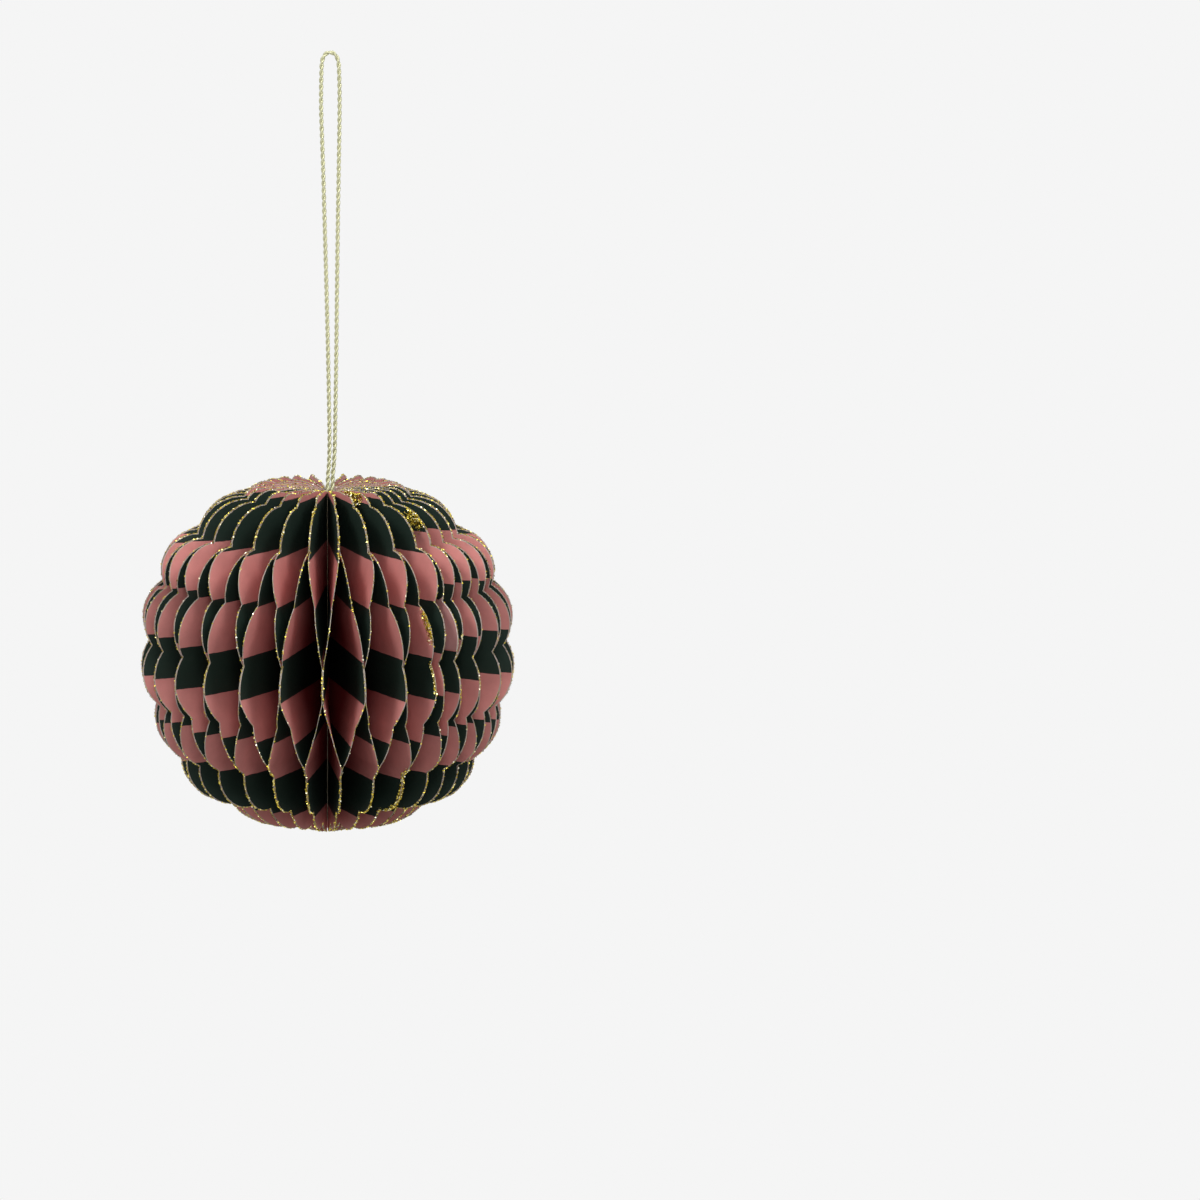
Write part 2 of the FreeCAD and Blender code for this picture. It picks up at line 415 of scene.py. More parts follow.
@dataclass(frozen=True)
class GlitterFlake:
    """Cut metallised film: flat bright flakes, most of them gold, some pale, some copper."""

    gold: str = "#D4BF4A"
    bright: str = "#F0E27C"
    pale: str = "#FFFCE8"
    bronze: str = "#5E4614"
    roughness: float = 0.28

    def material(self) -> bpy.types.Material:
        """Build the material of the glitter flakes."""
        material, tree = new_material("gold_glitter_film")
        tone = add_node(tree, "ShaderNodeAttribute", {"attribute_name": "tone"})
        ramp = add_node(tree, "ShaderNodeValToRGB", inputs={"Fac": tone.outputs["Fac"]})
        stops = ramp.color_ramp.elements
        stops[0].color = linear(self.bronze)
        stops[1].color = linear(self.pale)
        for place, colour in ((0.35, self.gold), (0.6, self.gold), (0.8, self.bright)):
            stops.new(place).color = linear(colour)
        set_surface(tree, {
            "Base Color": ramp.outputs["Color"], "Metallic": 1.0,
            "Roughness": self.roughness})
        return material


@dataclass(frozen=True)
class MetallicYarn:
    """Lame yarn: pale gold film laid round a pale core, with a silky broken shine that is
    partly painted: a painted highlight on its fibre ridges and painted shade in its grooves.
    """

    # Colours of the painted highlight on the fibre ridges and of the painted shade in the
    # grooves.
    ridge_highlight: str = "#E2E0BE"
    groove_shade: str = "#B9B98C"
    fibres_round: float = 5.0      # fibre bands seen round one ply
    fibre_lean: float = 2.2        # bands passed in each millimetre along the ply
    fleck_grain: float = 0.5
    fibre_relief: float = 0.06
    metallic: float = 0.35
    roughness: float = 0.4

    def material(self) -> bpy.types.Material:
        """Build the material of the cord's plies."""
        material, tree = new_material("pale_gold_lame_yarn")
        ply_map = add_node(tree, "ShaderNodeUVMap", {"uv_map": "ply"}).outputs["UV"]
        place = add_node(tree, "ShaderNodeSeparateXYZ", inputs={0: ply_map}).outputs
        along = calculate(tree, "MULTIPLY", place["X"], self.fibre_lean)
        band = calculate(tree, "MULTIPLY_ADD", place["Y"], self.fibres_round, along)
        wave = calculate(tree, "SINE", calculate(tree, "MULTIPLY", band, math.tau))
        ridge = remap(tree, wave, (-1.0, 1.0))
        # Painted highlight on the ridges and painted shade in the grooves, broken up by random
        # flecks.
        lit = calculate(tree, "MULTIPLY", ridge, grain(tree, self.fleck_grain, 3.0))
        share = remap(tree, lit, (0.0, 0.55))
        set_surface(tree, {
            "Base Color": blend(tree, share, linear(self.groove_shade), linear(self.ridge_highlight)),
            "Metallic": self.metallic, "Roughness": self.roughness,
            "Normal": bumps(tree, ridge, 0.6, self.fibre_relief)})
        return material


@dataclass(frozen=True)
class KnottedYarn(MetallicYarn):
    """The same yarn pulled tight in a knot, seen only as fine ridges."""

    ridge_width: float = 1.2
    ridge_relief: float = 0.2
    ridges_in_wave: float = 6.0    # ridges that the wave pattern draws in one of its units

    def material(self) -> bpy.types.Material:
        """Build the material of the cord's knot."""
        material, tree = new_material("knotted_lame_yarn")
        ridges = add_node(tree, "ShaderNodeTexWave", inputs={
            "Vector": object_place(tree), "Distortion": 3.0,
            "Scale": grains_per_metre(self.ridge_width) / self.ridges_in_wave}).outputs["Fac"]
        # Painted highlight on the ridges and painted shade between them, following the bump.
        set_surface(tree, {
            "Base Color": blend(tree, ridges, linear(self.groove_shade), linear(self.ridge_highlight)),
            "Metallic": self.metallic, "Roughness": self.roughness,
            "Normal": bumps(tree, ridges, 0.6, self.ridge_relief)})
        return material


@dataclass(frozen=True)
class SetGlue:
    """Craft glue set in the core: yellowish, glossy and clouded."""

    clear: str = "#6E6040"
    cloudy: str = "#8F8262"
    cloud_grain: float = 1.6
    relief: float = 0.3

    def material(self) -> bpy.types.Material:
        """Build the material of the set glue."""
        material, tree = new_material("set_craft_glue")
        cloud = grain(tree, self.cloud_grain, 3.0)
        set_surface(tree, {
            "Base Color": blend(tree, cloud, linear(self.clear), linear(self.cloudy)),
            "Roughness": 0.3, "IOR": 1.47, "Normal": bumps(tree, cloud, 0.4, self.relief)})
        return material


@dataclass(frozen=True)
class ScallopOutline:
    """Outline of a leaf, in radius and height: scallops between notches on two rings."""

    crest_radius: float = 50.0
    notch_radius: float = 47.3
    pitch: float = 20.0
    turn: float = 1.3
    upper_notches: int = 3
    lower_notches: int = 4
    crown_height: float = 40.3
    crown_bulge: float = 0.6
    foot_bulge: float = 1.2
    crown_drop: float = 0.6
    lower_flare: float = 0.13      # how much wider the foot is than a round ball's
    flare_power: float = 2.0
    crown_radius: float = 2.3      # the crown's edge meets the fold here
    start_radius: float = 2.7      # the rim starts here, just outside the fold
    steps: int = 14                # rim points in each scallop
    crest_losses: dict[int, float] = field(default_factory=lambda: {
        2: 1.5, -2: 0.6, -4: 0.3})  # how much lower some scallops stand
    notch_losses: dict[int, float] = field(default_factory=lambda: {
        3: 1.0, 2: 1.2, 1: 0.3})   # how much deeper some notches are cut
    brow: tuple[float, float] = (15.2, 41.4)   # where a crown petal turns level
    brow_bulge: float = 1.4

    @property
    def centre_drop(self) -> float:
        """How far the ball's centre lies below its equator notch."""
        return self.notch_radius * math.sin(math.radians(self.turn))

    @property
    def foot_height(self) -> float:
        """Height of the ball's lowest point."""
        return -self.crest_radius - self.centre_drop

    def on_ring(self, number: float, radius: float) -> np.ndarray:
        """Point of a ring of this radius, counted in scallops from the equator notch."""
        angle = math.radians(number * self.pitch + self.turn)
        height = radius * math.sin(angle) - self.centre_drop
        out = radius * math.cos(angle)
        share = height / self.notch_radius
        if height > 0:
            height -= self.crown_drop * share
        else:
            out *= 1 + self.lower_flare * abs(share) ** self.flare_power
        return np.array([out, height])

    def notch(self, number: int) -> np.ndarray:
        """Bottom of a notch, counted from the equator."""
        return self.on_ring(number, self.notch_radius - self.notch_losses.get(number, 0.0))

    def bulged(self, start: np.ndarray, end: np.ndarray, rise: float) -> np.ndarray:
        """Middle point of an arc that rises outwards over its chord."""
        chord = end - start
        outward = np.array([chord[1], -chord[0]]) / np.hypot(*chord)
        return start + chord / 2 + outward * rise

    def arc(self, start: np.ndarray, middle: np.ndarray, end: np.ndarray) -> np.ndarray:
        """Evenly spaced points of the round arc through three points.

        Args:
            start: First point, which is in the result.
            middle: Any point of the arc between its ends.
            end: Last point, which is left out.

        Returns:
            Radius and height of each point.
        """
        first, second = middle - start, end - start
        twice_area = 2 * (first[0] * second[1] - first[1] * second[0])
        spans = np.array([first @ first, second @ second])
        offset = np.array([
            second[1] * spans[0] - first[1] * spans[1],
            first[0] * spans[1] - second[0] * spans[0],
        ]) / twice_area
        centre = start + offset
        radius = np.hypot(*offset)
        begin = math.atan2(*(start - centre)[::-1])
        sweep = math.atan2(*(end - centre)[::-1]) - begin
        if twice_area > 0:
            sweep %= math.tau
        else:
            sweep = -((-sweep) % math.tau)
        angles = begin + sweep * np.arange(self.steps) / self.steps
        return centre + radius * np.column_stack([np.cos(angles), np.sin(angles)])

    def rim(self) -> np.ndarray:
        """Radius and height of each rim point, from the crown down to the foot."""
        foot = np.array([0.0, self.foot_height])
        crown = np.array([self.crown_radius, self.crown_height])
        lowest = self.notch(-self.lower_notches)
        highest = self.notch(self.upper_notches)
        arcs = [self.arc(foot, self.bulged(foot, lowest, self.foot_bulge), lowest)]
        for number in range(-self.lower_notches, self.upper_notches):
            crest_radius = self.crest_radius - self.crest_losses.get(number, 0.0)
            arcs.append(self.arc(
                self.notch(number), self.on_ring(number + 0.5, crest_radius),
                self.notch(number + 1)))
        brow = np.array(self.brow)
        arcs.append(self.arc(highest, self.bulged(highest, brow, self.brow_bulge), brow))
        arcs.append(self.arc(brow, self.bulged(brow, crown, self.crown_bulge), crown))
        points = np.vstack(arcs + [crown])
        return points[points[:, 0] > self.start_radius][::-1]


@dataclass(frozen=True)
class LeafJoins:
    """Heights where the leaves are stuck to each other or to the next sheet."""

    upper: float = 29.5            # leaves of one sheet stuck from here up
    side_top: float = 0.0          # neighbouring sheets stuck from here
    side_foot: float = -9.0        # down to here
    lower: float = -27.1           # leaves of one sheet stuck from here down
    spread_power: float = 0.8

    def spread(self, height: np.ndarray) -> np.ndarray:
        """How far a leaf is spread at each height, from 0 at its own sheet to 1."""
        above = (self.upper - height) / (self.upper - self.side_top)
        below = (height - self.lower) / (self.side_foot - self.lower)
        return np.clip(np.minimum(above, below), 0, 1) ** self.spread_power


@dataclass(frozen=True)
class SheetPlan:
    """Place of one folded sheet in the ball, and how its print sits."""

    number: int
    azimuth: float
    half_width: float
    print_shift: float
    print_stretch: float
    lean: float


@dataclass
class FoldedSheets:
    """The ball's folded sheets: each a scalloped disc of card with its fold at the core."""

    outline: ScallopOutline = field(default_factory=ScallopOutline)
    joins: LeafJoins = field(default_factory=LeafJoins)
    card: float = 0.16             # seen thickness; its edges are pressed thinner
    glue_gap: float = 0.06
    fold_radius: float = 2.3
    shoulder_clearance: float = 0.3
    seam_azimuth: float = 36.8
    seam_gap: float = 2.8
    count: int = 28
    narrow: dict[int, float] = field(default_factory=lambda: {1: 0.52, 2: 0.70, 28: 0.80})
    print_shifts: dict[int, float] = field(default_factory=lambda: {
        1: 0.5, 2: 3.3, 3: 3.3, 4: 2.0, 5: 1.0, 19: -0.9, 20: 0.8, 21: 1.7, 22: 0.5,
        27: -0.1, 28: -0.4})
    print_stretch: float = 0.05    # of the sheets that are printed high
    stretched: tuple[int, ...] = (2, 3, 4, 5)
    leans: dict[int, float] = field(default_factory=lambda: {
        1: 1.2, 2: 2.6, 3: 1.7, 28: 0.5})
    shift_spread: float = 0.5      # how far the other sheets' print strays
    bow: float = 0.3               # how far a free leaf bows
    ripple: float = 0.12           # how far its rim ripples
    ripple_length: float = 5.3     # height in which the ripple turns by one radian
    calm_below: float = 6.0        # half width, in degrees, of a sheet that bows fully
    columns: tuple[float, ...] = (
        0.0, 0.0025, 0.006, 0.02, 0.12, 0.27, 0.43, 0.6, 0.76, 0.9, 1.0)

    @property
    def depth(self) -> float:
        """From the middle of a sheet or of a side join to the middle of the card."""
        return (self.glue_gap + self.card) / 2

    def plans(self) -> list[SheetPlan]:
        """Place of every sheet, from the right of the closing seam on round the ball."""
        rng = np.random.default_rng(SEED)
        shares = [self.narrow.get(number, 1.0) for number in range(1, self.count + 1)]
        free_width = (360 - self.seam_gap) / sum(shares)
        edge = self.seam_azimuth + self.seam_gap / 2
        plans = []
        for number, share in enumerate(shares, start=1):
            width = free_width * share
            strayed = float(rng.uniform(-self.shift_spread, self.shift_spread))
            shift = self.print_shifts.get(number, strayed)
            stretch = self.print_stretch if number in self.stretched else 0.0
            lean = self.leans.get(number, 0.0)
            plans.append(SheetPlan(
                number, edge + width / 2, width / 2, shift, stretch, lean))
            edge += width
        return plans

    def leaf_place(
        self, plan: SheetPlan, radius: np.ndarray, height: np.ndarray, side: np.ndarray
    ) -> np.ndarray:
        """Middle of the card's thickness, for points of a leaf.

        Args:
            plan: The sheet.
            radius: Distance of each point from the ball's axis.
            height: Height of each point.
            side: Leaf of each point, -1 for the left and 1 for the right.

        Returns:
            Distance down the sheet's middle line and distance to its right, for each point.
        """
        half = math.radians(plan.half_width)
        reach = self.outline.crest_radius
        base = (self.card + self.glue_gap) / math.tan(half) + self.shoulder_clearance
        spread = self.joins.spread(height)
        end_x = reach * (1 - spread) + spread * (
            reach * math.cos(half) + self.depth * math.sin(half))
        end_y = self.depth * (1 - spread) + spread * (
            reach * math.sin(half) - self.depth * math.cos(half))
        run_x, run_y = end_x - base, end_y - self.depth
        run = np.hypot(run_x, run_y)
        run_x, run_y = run_x / run, run_y / run
        level = base * run_x + self.depth * run_y
        beyond = radius ** 2 - base ** 2 - self.depth ** 2
        length = np.sqrt(np.maximum(level ** 2 + beyond, 0)) - level
        from_fold = self.fold_radius + self.card / 2 + self.depth - radius
        fold_y = np.sqrt(np.clip(self.depth ** 2 - np.maximum(from_fold, 0) ** 2, 0, None))
        in_leaf = length > 0
        along = np.where(in_leaf, base + length * run_x, np.sqrt(radius ** 2 - fold_y ** 2))
        across = np.where(in_leaf, self.depth + length * run_y, fold_y)
        sway = radius * math.tan(math.radians(plan.lean)) * (1 - spread)
        return np.column_stack([along, across * side + sway])

    def bowed(
        self, plan: SheetPlan, share: np.ndarray, height: np.ndarray, side: np.ndarray
    ) -> np.ndarray:
        """How far the free card bows outwards, with a ripple at its rim.

        Args:
            plan: The sheet.
            share: Place of each point between the core, 0, and the rim, 1.
            height: Height of each point.
            side: Leaf of each point.

        Returns:
            Distance for each point, away from the sheet's middle.
        """
        rng = np.random.default_rng(SEED + plan.number)
        spread = self.joins.spread(height)
        free = 4 * spread * (1 - spread)
        belly = np.sin(np.pi * share) * free
        push = np.where(side > 0, rng.uniform(-1, 1), rng.uniform(-1, 1))
        phase = np.where(side > 0, rng.uniform(0, 6), rng.uniform(0, 6))
        wave = np.sin(height / self.ripple_length + phase) * share ** 2 * free
        narrow = min(1.0, plan.half_width / self.calm_below)
        return (self.bow * push * belly + self.ripple * wave) * narrow

    def to_frame(self, plan: SheetPlan, flat: np.ndarray, height: np.ndarray) -> np.ndarray:
        """Turn points of a sheet to its azimuth and lift them to the ball, in metres."""
        turn = math.radians(plan.azimuth - 90)
        x = flat[:, 0] * math.cos(turn) - flat[:, 1] * math.sin(turn)
        y = flat[:, 0] * math.sin(turn) + flat[:, 1] * math.cos(turn)
        return np.column_stack([x, y, height + BALL_HEIGHT]) * MM

    def folded(self, plan: SheetPlan) -> bpy.types.Object:
        """Cut a flat sheet to the scalloped outline, fold it and spread its leaves.

        Args:
            plan: The sheet's place in the ball.

        Returns:
            Surface through the middle of its card, from the left leaf's rim to the right's.
        """
        rim = self.outline.rim()
        rows, half_columns = len(rim) - 1, len(self.columns) - 1
        piece, place = card_grid("card_sheet_%02d" % plan.number, 2 * half_columns, rows)
        column = np.rint(place[:, 0] * 2 * half_columns).astype(int) - half_columns
        row = np.rint(place[:, 1] * rows).astype(int)
        share = np.array(self.columns)[np.abs(column)]
        side = np.where(column >= 0, 1, -1)
        core = self.fold_radius + self.card / 2
        down = row / rows
        core_height = self.outline.crown_height * (1 - down) + self.outline.foot_height * down
        radius = core + (rim[row, 0] - core) * share
        height = core_height + (rim[row, 1] - core_height) * share
        places = self.leaf_place(plan, radius, height, side)
        places[:, 1] += self.bowed(plan, share, height, side) * side
        solid = self.to_frame(plan, places, height)
        piece.data.vertices.foreach_set("co", solid.ravel())
        printed = height * (1 - plan.print_stretch) - plan.print_shift
        self.map_print(piece.data, rim[row, 0] * (1 - share), printed)
        return piece

    def map_print(self, mesh: bpy.types.Mesh, from_rim: np.ndarray, height: np.ndarray) -> None:
        """Lay the print map on a sheet: distance from the rim, and height on the print."""
        for layer in list(mesh.uv_layers):
            mesh.uv_layers.remove(layer)
        layer = mesh.uv_layers.new(name="card")
        corners = np.zeros(len(mesh.loops), dtype=int)
        mesh.loops.foreach_get("vertex_index", corners)
        layer.data.foreach_set("uv", np.column_stack([from_rim, height])[corners].ravel())

    def build(self) -> list[SheetPlan]:
        """Build every sheet, dress it and put it in place of its solid."""
        finishes = [PrintedCard(Face.OUTSIDE).material(), PrintedCard(Face.INSIDE).material(),
                    CutEdge().material()]
        plans = self.plans()
        for plan in plans:
            piece = self.folded(plan)
            for finish in finishes:
                piece.data.materials.append(finish)
            thicken(piece, self.card, inside_slot=1, edge_slot=2)
            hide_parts("folded_sheet_%02d" % plan.number)
            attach(piece, BODY)
            report(piece)
        return plans


@dataclass
class SeamTab:
    """Odd piece of card stuck in the first sheet, beside the closing seam."""

    sheets: FoldedSheets
    plan: SheetPlan
    top: float = 16.9
    foot: float = 3.0
    inner_radius: float = 33.0
    rim_margin: float = 0.15
    slope: float = 32.0
    rows: int = 30
    columns: int = 6

    def build(self) -> None:
        """Build the tab against its leaf, with its pointed corner at the rim."""
        piece, place = card_grid("rose_seam_tab", self.columns, self.rows)
        across, up = place.T
        rim = self.sheets.outline.rim()[::-1]
        level = self.foot + (self.top - self.foot) * up
        rim_radius = np.interp(level, rim[:, 1], rim[:, 0]) - self.rim_margin
        radius = self.inner_radius + (rim_radius - self.inner_radius) * across
        fall = (rim_radius - radius) * math.tan(math.radians(self.slope)) * up ** 2
        height = np.maximum(level - fall, self.foot)
        side = np.ones(len(radius))
        places = self.sheets.leaf_place(self.plan, radius, height, side)
        places[:, 1] -= self.sheets.card + self.sheets.glue_gap
        solid = self.sheets.to_frame(self.plan, places, height)
        piece.data.vertices.foreach_set("co", solid.ravel())
        edge = CutEdge("cut_tab_edge", pulp="#E4DCD4", glued_above=1.0)
        for finish in (TabCard().material(), edge.material()):
            piece.data.materials.append(finish)
        thicken(piece, self.sheets.card, inside_slot=0, edge_slot=1)
        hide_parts("seam_tab")
        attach(piece, BODY)
        report(piece)


@dataclass(frozen=True)
class GlitterClump:
    """Thick patch of glitter glue on one leaf, near the closing seam or the crown."""

    sheet: int
    side: Side
    low: float                     # degrees above the equator, seen from the centre
    high: float
    depth: float                   # how far in from the rim it reaches
    flakes: int
    outward: float                 # which face it sits on: 1 outside, -1 inside
    thickness: float = 0.5
    palest: float = 0.0            # lowest tone of its flakes, up to 1 for white


@dataclass
class Glitter:
    """Glitter flakes stuck along the cut edges, dense near the crown and the foot."""

    sheets: FoldedSheets
    plans: list[SheetPlan]
    flake_radius: tuple[float, float] = (0.10, 0.24)
    middle_density: float = 1.5    # flakes to a millimetre of edge at mid height
    end_density: float = 4.6       # and near the crown and the foot
    dense_above: float = 24.0      # height where the edges begin to be dense
    dense_within: float = 8.0      # they are fully dense this much further up or down
    thin_inside: float = 26.0      # fewer flakes nearer the core than this
    thinnest: float = 0.15
    patch_steps: int = 6           # rim steps in one patch of more or fewer flakes
    patch_least: float = 0.6
    patch_swing: float = 0.8
    proud: float = 0.06            # how far the flakes stand off the edge
    scatter: float = 0.10          # how far they stray from the middle of the edge
    clumps: tuple[GlitterClump, ...] = (
        GlitterClump(28, Side.RIGHT, 6.0, 18.0, 2.6, 420, -1),
        GlitterClump(28, Side.RIGHT, -10.0, 2.0, 1.0, 200, -1),
        GlitterClump(2, Side.LEFT, 45.5, 55.5, 3.2, 680, 1),
        GlitterClump(28, Side.RIGHT, -59.0, -33.0, 1.0, 520, 1),
        GlitterClump(28, Side.LEFT, -59.0, -33.0, 0.8, 260, 1),
        GlitterClump(28, Side.LEFT, 65.0, 78.5, 5.5, 820, 1),
        GlitterClump(3, Side.LEFT, -9.0, -2.0, 0.5, 60, 1, 0.3, 0.9),
        GlitterClump(2, Side.LEFT, 6.5, 9.5, 0.6, 30, 1, 0.3, 0.9),
    )

    def rim_frame(self) -> tuple[np.ndarray, np.ndarray]:
        """Rim points and the outward direction at each, in radius and height."""
        rim = self.sheets.outline.rim()
        along = np.gradient(rim, axis=0)
        along /= np.hypot(along[:, 0], along[:, 1])[:, None]
        return rim, np.column_stack([-along[:, 1], along[:, 0]])

    def edge_places(
        self, plan: SheetPlan, side: Side, rng: np.random.Generator
    ) -> np.ndarray:
        """Flake places along one leaf's edge, as radius, height and distance across.

        Args:
            plan: The sheet; not used.
            side: Its leaf; not used.
            rng: Seeded random numbers.

        Returns:
            One row for each flake.
        """
        rim, outward = self.rim_frame()
        steps = np.hypot(*np.diff(rim, axis=0).T)
        middle = (rim[1:] + rim[:-1]) / 2
        patches = rng.random(len(middle) // self.patch_steps + 2)
        local = self.patch_least + self.patch_swing * np.interp(
            np.arange(len(middle)) / self.patch_steps, np.arange(len(patches)), patches)
        rise = np.clip(
            (np.abs(middle[:, 1]) - self.dense_above) / self.dense_within, 0, 1)
        density = self.middle_density + (self.end_density - self.middle_density) * rise
        density *= np.clip(middle[:, 0] / self.thin_inside, self.thinnest, 1)
        counts = rng.poisson(density * local ** 2 * steps)
        index = np.repeat(np.arange(len(middle)), counts)
        share = rng.random(len(index))[:, None]
        places = rim[index] * (1 - share) + rim[index + 1] * share
        places = places + outward[index] * rng.uniform(0, self.proud, len(index))[:, None]
        across = rng.normal(0, self.scatter, len(index))
        return np.column_stack([places, across])

    def clump_places(self, clump: GlitterClump, rng: np.random.Generator) -> np.ndarray:
        """Flake places of a thick patch, heaped towards its middle and its rim."""
        rim = self.sheets.outline.rim()[::-1]
        angles = np.degrees(np.arctan2(rim[:, 1], rim[:, 0]))
        angle = rng.triangular(
            clump.low, (clump.low + clump.high) / 2, clump.high, clump.flakes)
        inward = clump.depth * rng.random(clump.flakes) ** 2
        edge = np.interp(angle, angles, np.hypot(rim[:, 0], rim[:, 1]))
        radius = (edge - inward) * np.cos(np.radians(angle))
        height = (edge - inward) * np.sin(np.radians(angle))
        heap = clump.thickness * rng.random(clump.flakes) * (1 - inward / clump.depth)
        across = clump.outward * (self.sheets.card / 2 + heap)
        return np.column_stack([radius, height, across])

    def on_leaf(self, plan: SheetPlan, side: Side, places: np.ndarray) -> np.ndarray:
        """Turn radius, height and distance across the card into places in metres."""
        radius, height, across = places.T
        sides = np.full(len(radius), side.value)
        flat = self.sheets.leaf_place(plan, radius, height, sides)
        share = np.clip(radius / self.sheets.outline.crest_radius, 0, 1)
        flat[:, 1] += self.sheets.bowed(plan, share, height, sides) * side.value
        flat[:, 1] += across * side.value
        return self.sheets.to_frame(plan, flat, height)

    def flake_shape(self) -> np.ndarray:
        """Corners of one hexagonal flake, modelled once at unit size."""
        deselect()
        bpy.ops.mesh.primitive_circle_add(vertices=6, radius=1.0, fill_type="NGON")
        flake = bpy.context.active_object
        corners = np.array([vertex.co[:] for vertex in flake.data.vertices])
        bpy.data.objects.remove(flake)
        return corners

    def scatter_flakes(
        self, name: str, centres: np.ndarray, palest: np.ndarray, shape: np.ndarray,
        rng: np.random.Generator
    ) -> bpy.types.Object:
        """Copy the flake to every place, each turned and sized by itself.

        Args:
            name: Name of the piece.
            centres: Flake centres in metres.
            palest: Lowest tone of each flake.
            shape: Corners of the flake at unit size.
            rng: Seeded random numbers.

        Returns:
            One mesh of all the flakes.
        """
        count = len(centres)
        axes = rng.normal(size=(count, 3))
        axes /= np.linalg.norm(axes, axis=1)[:, None]
        first = np.cross(axes, rng.normal(size=(count, 3)))
        first /= np.linalg.norm(first, axis=1)[:, None]
        second = np.cross(axes, first)
        sizes = rng.uniform(*self.flake_radius, count)[:, None] * MM
        corners = (shape[None, :, :1] * (first * sizes)[:, None]
                   + shape[None, :, 1:2] * (second * sizes)[:, None] + centres[:, None])
        faces = np.arange(count * len(shape)).reshape(count, len(shape))
        piece = mesh_piece(name, corners.reshape(-1, 3), faces.tolist())
        tone = piece.data.attributes.new("tone", "FLOAT", "POINT")
        tones = palest + (1 - palest) * rng.random(count)
        tone.data.foreach_set("value", np.repeat(tones, len(shape)))
        return piece

    def build(self) -> None:
        """Build one piece of glitter for each sheet, with the patches on it."""
        finish = GlitterFlake().material()
        shape = self.flake_shape()
        for plan in self.plans:
            rng = np.random.default_rng(SEED * 3 + plan.number)
            centres = [self.on_leaf(plan, side, self.edge_places(plan, side, rng))
                       for side in Side]
            palest = [np.zeros(len(places)) for places in centres]
            for clump in self.clumps:
                if clump.sheet == plan.number:
                    places = self.clump_places(clump, rng)
                    centres.append(self.on_leaf(plan, clump.side, places))
                    palest.append(np.full(len(places), clump.palest))
            piece = self.scatter_flakes(
                "glitter_edge_%02d" % plan.number, np.vstack(centres),
                np.concatenate(palest), shape, rng)
            piece.data.materials.append(finish)
            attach(piece, BODY)
            report(piece)


